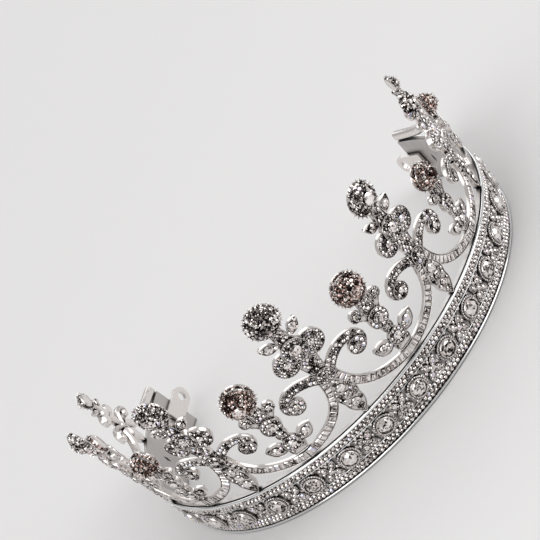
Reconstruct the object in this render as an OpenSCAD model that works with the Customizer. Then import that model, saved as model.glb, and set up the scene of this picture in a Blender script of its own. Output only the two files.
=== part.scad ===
// Graduated bridal tiara: an open-backed band that carries tall scroll motifs with
// shorter, tinted motifs between them. Everything leans outward on one cone.
// +Z is up, -Y is the front, and the band's lower edge rests on z = 0.

/* [Ring] */
// Outer radius of the band at its top edge
ring_r = 70; // [70:1:86]
// Outward lean of the band and of every motif, in degrees
lean = 7.5; // [3:0.5:12]
// Angle between one tall motif and the next, in degrees
motif_step = 36.5; // [36.5:0.5:42]
// Height of the band
band_h = 16; // [15:0.2:20]
// Thickness of the band's strip
band_t = 1.4; // [1:0.1:2]
// Gap that solder fills where one piece seats on another
solder_gap = 0.12; // [0.1:0.02:0.2]

/* [Band trim] */
// Radius of the polished wire along each edge of the band
rail_r = 0.5; // [0.4:0.05:0.8]
// Radius of the small stones in the upper and lower rows
row_stone_r = 1.1; // [0.8:0.05:1.35]
// Radius of the large round stones along the middle of the band
band_stone_r = 2.6; // [2:0.1:3.1]
// Wall of the collet round each large band stone
collet_wall = 0.5; // [0.4:0.05:0.8]
// Height of the collets above the strip
collet_h = 1.6; // [1.2:0.1:2.2]

/* [Tall motifs] */
// Height of the crest's centre above the band
tall_crest_z = 47.6; // [46:0.2:57.2]
// Radius of the crest
tall_crest_r = 6; // [5:0.1:7]
// Width of the scroll ribbons
scroll_w = 3.6; // [3:0.1:4]
// Width of the arcs that run down to the band
arc_w = 3.2; // [2.4:0.1:3.6]
// Thickness of the motif frames
frame_t = 1.6; // [1.2:0.1:2]

/* [Short motifs] */
// Height of the tinted crest's centre above the band
short_crest_z = 32.5; // [32.5:0.5:39]
// Radius of the tinted crest
short_crest_r = 5.6; // [4.8:0.1:6.4]

/* [End loops] */
// Radius of the hole that a hairpin or a ribbon passes through
loop_bore_r = 1.6; // [1.2:0.1:2]
// Wall of metal round the hole
loop_wall = 1.6; // [1.2:0.1:2.2]
// Thickness of the loop's tab
loop_t = 1.2; // [0.8:0.1:1.6]
// Length of tab that is soldered inside the end of the band
loop_lap = 6; // [4:0.5:9]

/* [Hidden] */
TALL = ["l3", "l2", "l1", "c", "r1", "r2", "r3"];
TALL_SIZE = [0.5, 0.77, 0.94, 1, 0.94, 0.77, 0.5];
SHORT = ["l3", "l2", "l1", "r1", "r2", "r3"];
SHORT_SIZE = [0.66, 0.82, 1, 1, 0.82, 0.66];
$fn = 48;

silver = [0.80, 0.80, 0.82];
clear = [0.90, 0.93, 0.97];
champagne = [0.72, 0.52, 0.46];

half_step = motif_step / 2;
band_half = 3 * motif_step + half_step;
seat_angle = solder_gap / ring_r * 180 / PI;
lean_run = tan(lean);
tall_drum = 0.2;          // half the height of a tall crest's drum, as a share of its radius
tall_dome = 0.5;          // height of the dome on it, likewise
tall_seat = 0.5;          // how far out the seat for its centre stone lies, likewise
short_drum = 0.3;         // the same three for a tinted crest, which is rounder
short_dome = 0.8;
short_seat = 0.88;
centre_stone = 0.42;      // radius of a crest's centre stone, likewise
centre_seat = 0.46;       // radius of the seat that is cut for it, likewise
arc_top = arc_w + 0.9;    // height at which a short motif stands on the arcs' feet
cut_reach = 2 * ring_r;   // how far a cutting bar reaches
stone_girdle = 0.35;      // girdle height, as a share of a stone's radius
stone_crown = 0.35;       // height of the cut crown above the girdle, likewise
stone_table = 0.6;        // radius of the flat top, likewise

// Radius of the cone's outer face at height z above the floor
function face_r(z) = ring_r + (z - band_h) * lean_run;

// The end loops: flat tabs whose lap lies against the inside of the band
band_mid = band_h / 2;
loop_r = loop_bore_r + loop_wall;
bore_x = loop_lap / 2 + loop_r;
strip_r = face_r(band_mid - loop_r) - band_t - solder_gap;
tab_r = sqrt(strip_r * strip_r - loop_lap * loop_lap / 4) + loop_r * lean_run;
tab_angle = band_half - asin(loop_lap / 2 / strip_r);

// The ring stands so that the origin is under the middle of the whole piece
crest_front = face_r(band_h + tall_crest_z) - frame_t / 2
    + cos(lean) * (tall_crest_r * (tall_seat + centre_stone * (stone_girdle + stone_crown))
                   + solder_gap)
    + sin(lean) * tall_crest_r * centre_stone * stone_table;
loop_back = bore_x * sin(tab_angle) - tab_r * cos(tab_angle) + loop_r * abs(sin(tab_angle));
ring_y = (crest_front - loop_back) / 2;

// Points of a cubic curve through four control points
function curve(p, n = 12) = [for (i = [0:n]) let (u = i / n, v = 1 - u)
    v*v*v*p[0] + 3*v*v*u*p[1] + 3*v*u*u*p[2] + u*u*u*p[3]];
function unit(v) = v / norm(v);
function along(p, i) = unit(p[min(i + 1, len(p) - 1)] - p[max(i - 1, 0)]);
function side(p, i, w) = let (d = along(p, i)) p[i] + w * [-d.y, d.x];

// A ribbon of even width that follows the points
module ribbon(p, w) {
    polygon(concat([for (i = [0:len(p) - 1]) side(p, i, w / 2)],
                   [for (i = [len(p) - 1:-1:0]) side(p, i, -w / 2)]));
}

// An upright plate between two heights, with a width at each
module taper(z0, z1, w0, w1) {
    polygon([[-w0 / 2, z0], [w0 / 2, z0], [w1 / 2, z1], [-w1 / 2, z1]]);
}

// A pointed oval, length l and width w, along its own Y
module marquise(l, w) {
    r = (l * l + w * w) / (4 * w);
    intersection() {
        translate([r - w / 2, 0]) circle(r);
        translate([w / 2 - r, 0]) circle(r);
    }
}

// Ring of the cone between two heights, offset in and out from its outer face
module shell(z0, z1, inner, outer, half) {
    rotate([0, 0, -90 - half]) rotate_extrude(angle = 2 * half, $fn = 96)
        polygon([[face_r(z0) + inner, z0], [face_r(z0) + outer, z0],
                 [face_r(z1) + outer, z1], [face_r(z1) + inner, z1]]);
}

// Trims upright bars (x across, z above the band) to a leaf of metal on the cone
module on_cone(a, z0, z1, half) {
    rotate([0, 0, a]) intersection() {
        shell(z0, z1, -frame_t, 0, half);
        translate([0, 0, band_h]) rotate([90, 0, 0]) union() children();
    }
}

// Stretches each outline into a bar that reaches through the cone
module bar() { linear_extrude(cut_reach) children(); }

// Seats a piece on the front face: x across from the motif's centre line, z above the band
module seat(a, x, z, out = 0) {
    h = band_h + z;
    turn = asin(x / face_r(h));
    rotate([0, 0, a + turn]) translate([0, -face_r(h) - out, h]) rotate([90 + lean, 0, 0])
        children();
}

// A round stone: flat back, straight girdle and a cut crown
module round_stone(r) {
    color(clear) {
        cylinder(h = stone_girdle * r, r = r);
        translate([0, 0, stone_girdle * r])
            cylinder(h = stone_crown * r, r1 = r, r2 = stone_table * r);
    }
}

// ---- Band ----

band_pitch = motif_step / 3;
band_stones_each_side = 10;
row_spacing = 0.35;      // room between one small stone and the next
row_margin = 1.5;        // angle that stays free of small stones at each end
row_z = 2 * rail_r + row_stone_r + 0.5;
row_pitch = (2 * row_stone_r + row_spacing) / face_r(row_z) * 180 / PI;
row_each_side = floor((band_half - row_margin) / row_pitch);
rail_z = rail_r + 0.15;
pierced_w = 1.4;
pierced_h = 3.2;

module band_frame() {
    color(silver) difference() {
        shell(0, band_h, -band_t, 0, band_half);
        for (i = [-band_stones_each_side:band_stones_each_side - 1]) for (d = [-1, 1])
            rotate([0, 0, (i + 0.5) * band_pitch + d * band_pitch * 0.25])
                translate([0, 0, band_mid]) rotate([90, 0, 0]) linear_extrude(cut_reach)
                    polygon([[-pierced_w / 2, 0], [0, -pierced_h / 2],
                             [pierced_w / 2, 0], [0, pierced_h / 2]]);
    }
}

module rail(z) {
    color(silver) rotate([0, 0, -90 - band_half])
        rotate_extrude(angle = 2 * band_half, $fn = 96)
            translate([face_r(z) + rail_r + solder_gap, z]) circle(rail_r, $fn = 32);
}

module upper_rail() { rail(band_h - rail_z); }

module lower_rail() { rail(rail_z); }

module row_stones(z) {
    for (i = [-row_each_side:row_each_side])
        seat(i * row_pitch, 0, z - band_h, solder_gap) round_stone(row_stone_r, $fn = 24);
}

module upper_row_stones() { row_stones(band_h - row_z); }

module lower_row_stones() { row_stones(row_z); }

collet_floor = 0.4;

module band_collets() {
    color(silver)
        for (i = [-band_stones_each_side:band_stones_each_side])
            seat(i * band_pitch, 0, band_mid - band_h, solder_gap) difference() {
                cylinder(h = collet_h, r = band_stone_r + collet_wall);
                translate([0, 0, collet_floor])
                    cylinder(h = collet_h, r = band_stone_r + solder_gap);
            }
}

module band_stones() {
    for (i = [-band_stones_each_side:band_stones_each_side])
        seat(i * band_pitch, 0, band_mid - band_h, 2 * solder_gap + collet_floor)
            round_stone(band_stone_r);
}

petal_l = 4.2;           // the petals of the ornaments between the large stones
petal_w = 2.2;
petal_out = 1.9;         // distance of a petal's middle from the ornament's
petal_h = 1;
boss_r = 0.9;

module band_leaves() {
    color(silver)
        for (i = [-band_stones_each_side:band_stones_each_side - 1])
            seat((i + 0.5) * band_pitch, 0, band_mid - band_h, solder_gap)
                linear_extrude(petal_h) for (q = [45, 135]) rotate(q) {
                    translate([0, petal_out]) marquise(petal_l, petal_w);
                    translate([0, -petal_out]) marquise(petal_l, petal_w);
                    circle(boss_r);
                }
}

// ---- End loops ----

module end_loop(s) {
    color(silver) rotate([0, 0, s * tab_angle]) translate([0, -tab_r, band_mid])
        rotate([90 + lean, 0, 0]) mirror([s > 0 ? 0 : 1, 0, 0]) difference() {
            union() {
                translate([-loop_lap / 2, -loop_r, -loop_t])
                    cube([loop_lap / 2 + bore_x, 2 * loop_r, loop_t]);
                translate([bore_x, 0, -loop_t]) cylinder(h = loop_t, r = loop_r);
            }
            translate([bore_x, 0, -loop_t - 1]) cylinder(h = loop_t + 2, r = loop_bore_r);
        }
}

module end_loop_left() { end_loop(-1); }

module end_loop_right() { end_loop(1); }

// ---- Tall motifs ----

knot = [0, 18.8];
knot_r = 3.1;
curl_at = [12.9, 17.9];
curl_r = 3.1;
lobe_at = [5, 31];
lobe_r = 4.5;
heart_at = [0, 33];
heart_r = 4.4;
side_at = [5, 39.2];
side_turn = -57;
side_l = 6.8;
side_w = 3.8;
leaf_at = [0, 8.6];
leaf_l = 17.6;
leaf_w = 7;
shield_w = 9;            // the shield narrows from the lobes to the knot
shield_foot_w = 4;
neck_w = 6.6;            // the neck narrows from the heart to the crest
neck_top_w = 4.4;

function scroll_path() = concat(
    curve([[1.6, 18.6], [4.6, 21.8], [8.8, 23.6], [12.1, 22.8]]),
    [for (i = [1:12]) curve([[12.1, 22.8], [15.8, 21.9], [16.6, 18.2], [13.6, 16.9]])[i]]);

function arc_path(k, end_x) = curve(
    [[2.2, k * 17.8], [3.2, k * 8.4], [9.4, k * 2.4 + 0.6], [end_x, arc_w / 2 + 0.2]], 16);

module tall_bars(k) {
    crest_bottom = k * (tall_crest_z - tall_crest_r);
    end_x = face_r(band_h) * sin(half_step) + 2;
    for (m = [0, 1]) mirror([m, 0, 0]) {
        bar() ribbon(arc_path(k, end_x), arc_w);
        bar() scale(k) ribbon(scroll_path(), scroll_w);
        bar() scale(k) translate(curl_at) circle(curl_r);
        bar() scale(k) translate(lobe_at) circle(lobe_r);
        bar() scale(k) translate(side_at) rotate(side_turn) marquise(side_l, side_w);
    }
    bar() scale(k) translate(knot) circle(knot_r);
    bar() scale(k) translate(leaf_at) marquise(leaf_l, leaf_w);
    bar() scale(k) translate(heart_at) circle(heart_r);
    bar() scale(k) taper(knot.y, lobe_at.y, shield_foot_w, shield_w);
    bar() taper(k * heart_at.y, crest_bottom - solder_gap, k * neck_w, k * neck_top_w);
}

module tall_frame(a, k) {
    color(silver)
        on_cone(a, band_h + solder_gap, band_h + k * tall_crest_z, half_step - seat_angle)
            tall_bars(k);
}

// A cluster: a low drum with a dome in front, and a seat in the dome for its centre stone
module crest(a, z, r, drum, dome, floor_out, tint) {
    h = band_h + z;
    rise = dome * r;
    ball_r = (r * r + rise * rise) / (2 * rise);
    color(tint) rotate([0, 0, a]) translate([0, -face_r(h) + frame_t / 2, h])
        rotate([90 + lean, 0, 0]) difference() {
            intersection() {
                translate([0, 0, (drum + dome) * r - ball_r]) sphere(ball_r);
                translate([0, 0, -drum * r]) cylinder(h = (2 * drum + dome) * r, r = r);
            }
            translate([0, 0, floor_out * r]) cylinder(h = r, r = centre_seat * r);
        }
}

module crest_stone(a, z, r, floor_out) {
    h = band_h + z;
    rotate([0, 0, a]) translate([0, -face_r(h) + frame_t / 2, h]) rotate([90 + lean, 0, 0])
        translate([0, 0, floor_out * r + solder_gap]) round_stone(centre_stone * r);
}

module tall_crest(a, k) {
    crest(a, k * tall_crest_z, k * tall_crest_r, tall_drum, tall_dome, tall_seat, clear);
}

heart_stone_r = 2.6;
knot_stone_r = 1.7;
lobe_stone_r = 2;
curl_stone_r = 1.7;
leaf_stone_r = 1.5;
leaf_stone_step = 3.6;
side_stone_r = 1.05;

module tall_stones(a, k) {
    crest_stone(a, k * tall_crest_z, k * tall_crest_r, tall_seat);
    seat(a, 0, k * heart_at.y, solder_gap) round_stone(k * heart_stone_r);
    seat(a, 0, k * knot.y, solder_gap) round_stone(k * knot_stone_r);
    for (i = [-1:1])
        seat(a, 0, k * (leaf_at.y + i * leaf_stone_step), solder_gap)
            round_stone(k * leaf_stone_r);
    for (s = [-1, 1]) {
        seat(a, s * k * lobe_at.x, k * lobe_at.y, solder_gap) round_stone(k * lobe_stone_r);
        seat(a, s * k * curl_at.x, k * curl_at.y, solder_gap) round_stone(k * curl_stone_r);
        seat(a, s * k * side_at.x, k * side_at.y, solder_gap) round_stone(k * side_stone_r);
    }
}

// ---- Short motifs ----

fleur_at = [0, 9];
fleur_r = 3;
foot_at = [0, 6.4];
foot_l = 8;
foot_w = 6.4;
wing_at = [5.4, 9.4];
wing_turn = -62;
wing_l = 8;
wing_w = 5.2;
bead_at = [0, 13.6];
bead_r = 2.1;
cluster_at = [0, 18];
cluster_r = 3.6;
bud_drop = 8.1;          // how far the buds stand below the crest's centre
bud_at = [4.6, short_crest_z - bud_drop];
bud_r = 2.15;
bud_arm_w = 2.2;
short_stem_w = 3.4;
short_neck_w = 5.2;
short_neck_top_w = 4.4;

module short_bars(k) {
    crest_bottom = k * (short_crest_z - short_crest_r);
    for (m = [0, 1]) mirror([m, 0, 0]) {
        bar() scale(k) translate(wing_at) rotate(wing_turn) marquise(wing_l, wing_w);
        bar() scale(k) translate(bud_at) circle(bud_r);
        bar() scale(k) ribbon([cluster_at, bud_at], bud_arm_w);
    }
    bar() scale(k) translate(fleur_at) circle(fleur_r);
    bar() scale(k) translate(foot_at) marquise(foot_l, foot_w);
    bar() scale(k) translate(bead_at) circle(bead_r);
    bar() scale(k) translate(cluster_at) circle(cluster_r);
    bar() scale(k) taper(fleur_at.y, cluster_at.y, short_stem_w, short_stem_w);
    bar() taper(k * cluster_at.y, crest_bottom - solder_gap, k * short_neck_w,
                k * short_neck_top_w);
}

module short_frame(a, k) {
    color(silver)
        on_cone(a, band_h + arc_top, band_h + k * short_crest_z, half_step - seat_angle)
            short_bars(k);
}

module short_crest(a, k) {
    crest(a, k * short_crest_z, k * short_crest_r, short_drum, short_dome, short_seat,
          champagne);
}

cluster_stone_r = 2.3;
fleur_stone_r = 1.9;
wing_stone_r = 1.4;
bud_stone_r = 1.5;

module short_stones(a, k) {
    crest_stone(a, k * short_crest_z, k * short_crest_r, short_seat);
    seat(a, 0, k * cluster_at.y, solder_gap) round_stone(k * cluster_stone_r);
    seat(a, 0, k * fleur_at.y, solder_gap) round_stone(k * fleur_stone_r);
    for (s = [-1, 1]) {
        seat(a, s * k * wing_at.x, k * wing_at.y, solder_gap) round_stone(k * wing_stone_r);
        seat(a, s * k * bud_at.x, k * bud_at.y, solder_gap) round_stone(k * bud_stone_r);
    }
}

function tall_angle(i) = (i - 3) * motif_step;
function short_angle(i) = (i - 2.5) * motif_step;
module placed() { translate([0, ring_y, 0]) children(); }

placed() band_frame();
placed() upper_rail();
placed() lower_rail();
placed() upper_row_stones();
placed() lower_row_stones();
placed() band_collets();
placed() band_stones();
placed() band_leaves();
placed() end_loop_left();
placed() end_loop_right();
for (i = [0:len(TALL) - 1]) {
    placed() tall_frame(tall_angle(i), TALL_SIZE[i]);
    placed() tall_crest(tall_angle(i), TALL_SIZE[i]);
    placed() tall_stones(tall_angle(i), TALL_SIZE[i]);
}
for (i = [0:len(SHORT) - 1]) {
    placed() short_frame(short_angle(i), SHORT_SIZE[i]);
    placed() short_crest(short_angle(i), SHORT_SIZE[i]);
    placed() short_stones(short_angle(i), SHORT_SIZE[i]);
}
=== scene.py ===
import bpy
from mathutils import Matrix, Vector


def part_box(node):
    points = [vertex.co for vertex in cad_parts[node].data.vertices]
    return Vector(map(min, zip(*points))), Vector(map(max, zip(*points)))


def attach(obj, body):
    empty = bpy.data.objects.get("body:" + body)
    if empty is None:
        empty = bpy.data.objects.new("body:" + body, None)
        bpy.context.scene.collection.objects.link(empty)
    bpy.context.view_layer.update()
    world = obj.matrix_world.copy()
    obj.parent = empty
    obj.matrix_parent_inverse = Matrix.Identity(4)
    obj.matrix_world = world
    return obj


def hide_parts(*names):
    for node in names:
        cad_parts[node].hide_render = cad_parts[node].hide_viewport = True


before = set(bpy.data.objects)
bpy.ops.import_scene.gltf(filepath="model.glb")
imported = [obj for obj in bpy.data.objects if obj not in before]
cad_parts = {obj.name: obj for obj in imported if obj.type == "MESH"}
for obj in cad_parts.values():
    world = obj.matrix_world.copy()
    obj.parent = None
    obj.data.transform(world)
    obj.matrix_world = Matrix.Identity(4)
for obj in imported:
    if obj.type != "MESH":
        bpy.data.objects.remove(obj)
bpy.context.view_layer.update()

import logging
import math
from bisect import bisect_left
from dataclasses import dataclass, field
from enum import Enum
from typing import Callable, ClassVar, Iterable, Sequence

import bmesh
import bpy
from mathutils import Matrix, Vector

logging.basicConfig(level=logging.INFO, format="%(message)s")
log = logging.getLogger("tiara")

MM = 0.001
TURN = 2 * math.pi
BODY = "root"
LEAN = math.radians(7.5)
MOTIF_STEP = math.radians(36.5)
Plane = tuple[float, float]
Triple = tuple[float, float, float]
Keep = Callable[[Plane], bool]


class Cut(Enum):
    """The stone shapes, in the order that the picker reads them."""

    PAVE = 0
    BRILLIANT = 1
    BAGUETTE = 2


class Grain(Enum):
    """The bits of metal that hold stones, in the order that the picker reads them."""

    BEAD = 0
    CLAW = 1


# How bright the painted glints of each cut's stones are at least, from 0 to 1
LEAST = {Cut.PAVE: 0.0, Cut.BRILLIANT: 0.38, Cut.BAGUETTE: 0.5}


class Tone(Enum):
    """The stone colours."""

    CLEAR = "crystal"
    CHAMPAGNE = "champagne_crystal"


# ---- The cone that everything stands on ----


@dataclass(frozen=True)
class Ring:
    """The leaning cone on which the band and every motif lie. Sizes are in millimetres.

    Args:
        radius: outer radius of the band at its upper edge.
        band_height: height of the band.
        centre_y: how far behind the origin the ring's axis stands.
        half_angle: half of the arc that the band covers, in radians.
    """

    radius: float
    band_height: float
    centre_y: float
    half_angle: float = 3.5 * MOTIF_STEP

    @classmethod
    def from_frame(cls) -> "Ring":
        """Reads the ring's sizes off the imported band."""
        low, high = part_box("band_frame")
        radius = (high.x - low.x) / 2
        return cls(radius / MM, high.z / MM, (low.y + radius) / MM)

    def face(self, height: float) -> float:
        """Radius of the outer face at a height above the band's upper edge."""
        return self.radius + height * math.tan(LEAN)

    def turn(self, angle: float, across: float, height: float) -> float:
        """Angle round the ring of a point that lies across from a motif's centre line."""
        return angle + math.asin(across / self.face(height))

    def point(self, angle: float, across: float, height: float, out: float) -> Vector:
        """A place on the cone.

        Args:
            angle: the motif's place round the ring, from the front towards +X.
            across: distance sideways from the motif's centre line.
            height: height above the band's upper edge.
            out: distance outwards from the cone's face.

        Returns:
            The place in metres.
        """
        turn = self.turn(angle, across, height)
        reach = self.face(height) + out * math.cos(LEAN)
        rise = self.band_height + height - out * math.sin(LEAN)
        x, y = reach * math.sin(turn), self.centre_y - reach * math.cos(turn)
        return Vector((x, y, rise)) * MM

    def axes(self, angle: float, across: float, height: float) -> tuple[Vector, Vector, Vector]:
        """The directions across, up the lean and outwards at a place on the cone."""
        turn = self.turn(angle, across, height)
        sideways = Vector((math.cos(turn), math.sin(turn), 0))
        outwards = Vector((math.sin(turn) * math.cos(LEAN), -math.cos(turn) * math.cos(LEAN),
                           -math.sin(LEAN)))
        return sideways, outwards.cross(sideways), outwards


# ---- Flat outlines and paths, in millimetres ----


def round_turn(count: int, shift: float = 0.0) -> list[float]:
    """Angles spread evenly over a full turn, all moved on by a share of one step."""
    return [TURN * (i + shift) / count for i in range(count)]


def clear_of(*discs: tuple[Plane, float]) -> Keep:
    """A test that tells whether a place lies outside all the given discs."""
    return lambda p: all(math.dist(p, centre) > radius for centre, radius in discs)


def curve(start: Plane, lead: Plane, follow: Plane, end: Plane, steps: int = 16) -> list[Plane]:
    """Points of a cubic curve through two ends, pulled by two handles."""
    points = []
    for i in range(steps + 1):
        u = i / steps
        v = 1 - u
        weights = (v ** 3, 3 * v * v * u, 3 * v * u * u, u ** 3)
        points.append(tuple(sum(w * c for w, c in zip(weights, controls))
                            for controls in zip(start, lead, follow, end)))
    return points


def even(path: Sequence[Plane], pitch: float) -> list[tuple[Plane, Plane]]:
    """Spaces points evenly along a path.

    Args:
        path: the points of the path.
        pitch: the wanted distance between points.

    Returns:
        Each point with the unit direction of the path there.
    """
    lengths = [0.0]
    for a, b in zip(path, path[1:]):
        lengths.append(lengths[-1] + math.dist(a, b))
    count = max(1, round(lengths[-1] / pitch))
    found = []
    for i in range(count + 1):
        target = lengths[-1] * i / count
        k = max(1, bisect_left(lengths, target - 1e-9))
        a, b = path[k - 1], path[k]
        span = max(lengths[k] - lengths[k - 1], 1e-9)
        u = (target - lengths[k - 1]) / span
        direction = ((b[0] - a[0]) / span, (b[1] - a[1]) / span)
        found.append(((a[0] + u * (b[0] - a[0]), a[1] + u * (b[1] - a[1])), direction))
    return found


def oval(half_length: float, half_width: float, pointed: bool = True) -> list[Plane]:
    """A closed outline along its own Y: a pointed oval, or an ellipse."""
    points = []
    for t in round_turn(32):
        wide = math.copysign(math.sin(t) ** 2, math.sin(t)) if pointed else math.sin(t)
        points.append((half_width * wide, half_length * math.cos(t)))
    return points


def turned(points: Iterable[Plane], angle: float, at: Plane) -> list[Plane]:
    """Points turned clockwise by an angle, then moved."""
    c, s = math.cos(angle), math.sin(angle)
    return [(at[0] + (c * x + s * y), at[1] + (c * y - s * x)) for x, y in points]


def inset(outline: Sequence[Plane], depth: float) -> list[Plane]:
    """Moves a closed outline inwards by a depth, with its corners kept short.

    Args:
        outline: the points, in either direction round.
        depth: how far it moves.

    Returns:
        As many points as the outline has.
    """
    count = len(outline)
    area = sum(a[0] * b[1] - b[0] * a[1] for a, b in zip(outline, [*outline[1:], outline[0]]))
    way = math.copysign(1.0, area)
    moved = []
    for i, (x, z) in enumerate(outline):
        before, after = Vector(outline[i - 1]), Vector(outline[(i + 1) % count])
        here = Vector((x, z))
        a, b = (here - before).normalized(), (after - here).normalized()
        normal = Vector((-(a.y + b.y), a.x + b.x)) * way
        length = max(normal.length, 1e-6)
        push = depth * min(2 / length, 2.0)
        moved.append((x + normal.x / length * push, z + normal.y / length * push))
    return moved


def room(place: Plane, outline: Sequence[Plane]) -> float:
    """Distance from a place to a closed outline: above zero inside, below zero outside."""
    x, z = place
    inside, nearest = False, 1e9
    for (ax, az), (bx, bz) in zip(outline, [*outline[1:], outline[0]]):
        if (az > z) != (bz > z) and x < ax + (z - az) * (bx - ax) / (bz - az):
            inside = not inside
        ux, uz = bx - ax, bz - az
        t = max(0.0, min(1.0, ((x - ax) * ux + (z - az) * uz) / max(ux * ux + uz * uz, 1e-12)))
        nearest = min(nearest, math.hypot(x - ax - t * ux, z - az - t * uz))
    return nearest if inside else -nearest


def taper(low: float, high: float, low_width: float, high_width: float) -> list[Plane]:
    """Outline of an upright plate between two heights, with a width at each."""
    steps = 6
    right = [((low_width + (high_width - low_width) * i / steps) / 2,
              low + (high - low) * i / steps) for i in range(steps + 1)]
    return right + [(-x, z) for x, z in reversed(right)]


def lobed(half_length: float, half_width: float, lobes: int, depth: float) -> list[Plane]:
    """Outline of a pointed leaf along its own Y, with a scalloped edge."""
    points = []
    for t in round_turn(96):
        swell = 1 + depth * abs(math.sin(lobes * t / 2)) * abs(math.sin(t))
        wide = math.copysign(abs(math.sin(t)) ** 1.6, math.sin(t))
        points.append((half_width * wide * swell, half_length * math.cos(t)))
    return points


# ---- Meshes ----


class Shape:
    """Closed pieces of metal, gathered one after another into one mesh."""

    def __init__(self) -> None:
        self.mesh = bmesh.new()

    def loft(self, rings: Sequence[Sequence[Vector]]) -> None:
        """Skins a row of closed rings with the same number of points, and caps both ends."""
        rows = [[self.mesh.verts.new(p) for p in ring] for ring in rings]
        count = len(rows[0])
        for a, b in zip(rows, rows[1:]):
            for i in range(count):
                j = (i + 1) % count
                self.mesh.faces.new((a[i], a[j], b[j], b[i]))
        self.mesh.faces.new(rows[0][::-1])
        self.mesh.faces.new(rows[-1])

    def finish(self, name: str, crease: float = 35.0) -> bpy.types.Object:
        """Turns what was gathered into an object.

        Args:
            name: the object's name.
            crease: the angle in degrees above which an edge stays sharp.

        Returns:
            The new object, in the scene.
        """
        bmesh.ops.recalc_face_normals(self.mesh, faces=self.mesh.faces)
        bmesh.ops.triangulate(self.mesh, faces=[f for f in self.mesh.faces if len(f.verts) > 4])
        data = bpy.data.meshes.new(name)
        self.mesh.to_mesh(data)
        self.mesh.free()
        data.shade_smooth()
        data.set_sharp_from_angle(angle=math.radians(crease))
        return in_scene(bpy.data.objects.new(name, data))


def in_scene(thing: bpy.types.Object) -> bpy.types.Object:
    """Links an object to the scene."""
    bpy.context.scene.collection.objects.link(thing)
    return thing


@dataclass(frozen=True)
class Tray:
    """Section of a stone tray: a shallow channel between two raised, polished rims.

    Args:
        depth: how far the metal reaches behind the cone's face.
        rim: width of each rim.
        rise: height of the rims above the tray's floor.
        lift: height of the floor above the cone's face.
    """

    depth: float = 1.5
    rim: float = 0.3
    rise: float = 0.3
    lift: float = 0.05

    def steps(self) -> list[Plane]:
        """Inset and height of each edge of the section, from the back to the floor."""
        top = self.lift + self.rise
        waist = min(-0.35, 0.5 - self.depth) if self.depth > 0.8 else 0.0
        return [(0.8, -self.depth), (0.15, waist), (0.0, top - 0.25), (0.1, top),
                (self.rim - 0.08, top), (self.rim, top - 0.1), (self.rim + 0.04, self.lift)]


# ---- Stones and the grains that hold them ----


def faceted(name: str, rings: Sequence[Sequence[Triple]], top: float,
            bottom: float) -> bpy.types.Object:
    """A closed, flat-faced shape from rings of points with a point above and one below.

    Args:
        name: the object's name.
        rings: rings from the lowest to the highest. One may have half as
            many points as the ring below it.
        top: height of the upper point.
        bottom: height of the lower point.

    Returns:
        The shape, outside the scene.
    """
    shape = bmesh.new()
    rows = [[shape.verts.new(p) for p in ring] for ring in rings]
    low, high = shape.verts.new((0, 0, bottom)), shape.verts.new((0, 0, top))
    for a, b in zip(rows, rows[1:]):
        n, ratio = len(b), len(a) // len(b)
        for i in range(n):
            j = (i + 1) % n
            if ratio == 1:
                shape.faces.new((a[i], a[j], b[i]))
                shape.faces.new((a[j], b[j], b[i]))
            else:
                k = 2 * i
                shape.faces.new((a[k], a[k + 1], b[i]))
                shape.faces.new((a[k + 1], a[(k + 2) % len(a)], b[j]))
                shape.faces.new((a[k + 1], b[j], b[i]))
    for i in range(len(rows[0])):
        shape.faces.new((rows[0][(i + 1) % len(rows[0])], rows[0][i], low))
    for i in range(len(rows[-1])):
        shape.faces.new((rows[-1][i], rows[-1][(i + 1) % len(rows[-1])], high))
    bmesh.ops.recalc_face_normals(shape, faces=shape.faces)
    data = bpy.data.meshes.new(name)
    shape.to_mesh(data)
    shape.free()
    return bpy.data.objects.new(name, data)


def circle(sides: int, radius: float, z: float, shift: float = 0.0) -> list[Triple]:
    """A ring of points, turned by a share of one side."""
    return [(radius * math.cos(t), radius * math.sin(t), z) for t in round_turn(sides, shift)]


def box_ring(scale: float, z: float) -> list[Triple]:
    """A ring in the outline of a square."""
    return [(scale * x, scale * y, z) for x, y in ((1, -1), (1, 1), (-1, 1), (-1, -1))]


def collection_of(name: str, *shapes: bpy.types.Object) -> bpy.types.Collection:
    """A collection outside the scene that holds the shapes in the order of their names."""
    group = bpy.data.collections.new(name)
    for shape in shapes:
        group.objects.link(shape)
    return group


def stone_cuts() -> bpy.types.Collection:
    """One stone of each cut, of unit size, face up with its girdle at zero."""
    return collection_of(
        "stone_cuts",
        faceted("cut_0_pave", [circle(8, 1, 0), circle(8, 0.56, 0.38, 0.5)], 0.44, -0.5),
        faceted("cut_1_brilliant", [circle(16, 1, -0.06), circle(16, 1, 0.02),
                                    circle(8, 0.8, 0.22, 0.25), circle(8, 0.54, 0.37, 0.75),
                                    circle(8, 0.26, 0.395, 0.25)], 0.4, -0.6),
        faceted("cut_2_baguette", [box_ring(1, 0), box_ring(0.78, 0.3), box_ring(0.46, 0.42)],
                0.46, -0.4))


def grain_forms() -> bpy.types.Collection:
    """One bead and one claw, of unit size."""
    return collection_of(
        "grain_forms",
        faceted("grain_0_bead", [circle(6, 0.9, -0.3), circle(6, 1, 0.2), circle(6, 0.62, 0.78)],
                1.0, -0.4),
        faceted("grain_1_claw", [circle(5, 1, -1), circle(5, 0.8, 0.5), circle(5, 0.5, 0.86)],
                1.0, -1.05))


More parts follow.
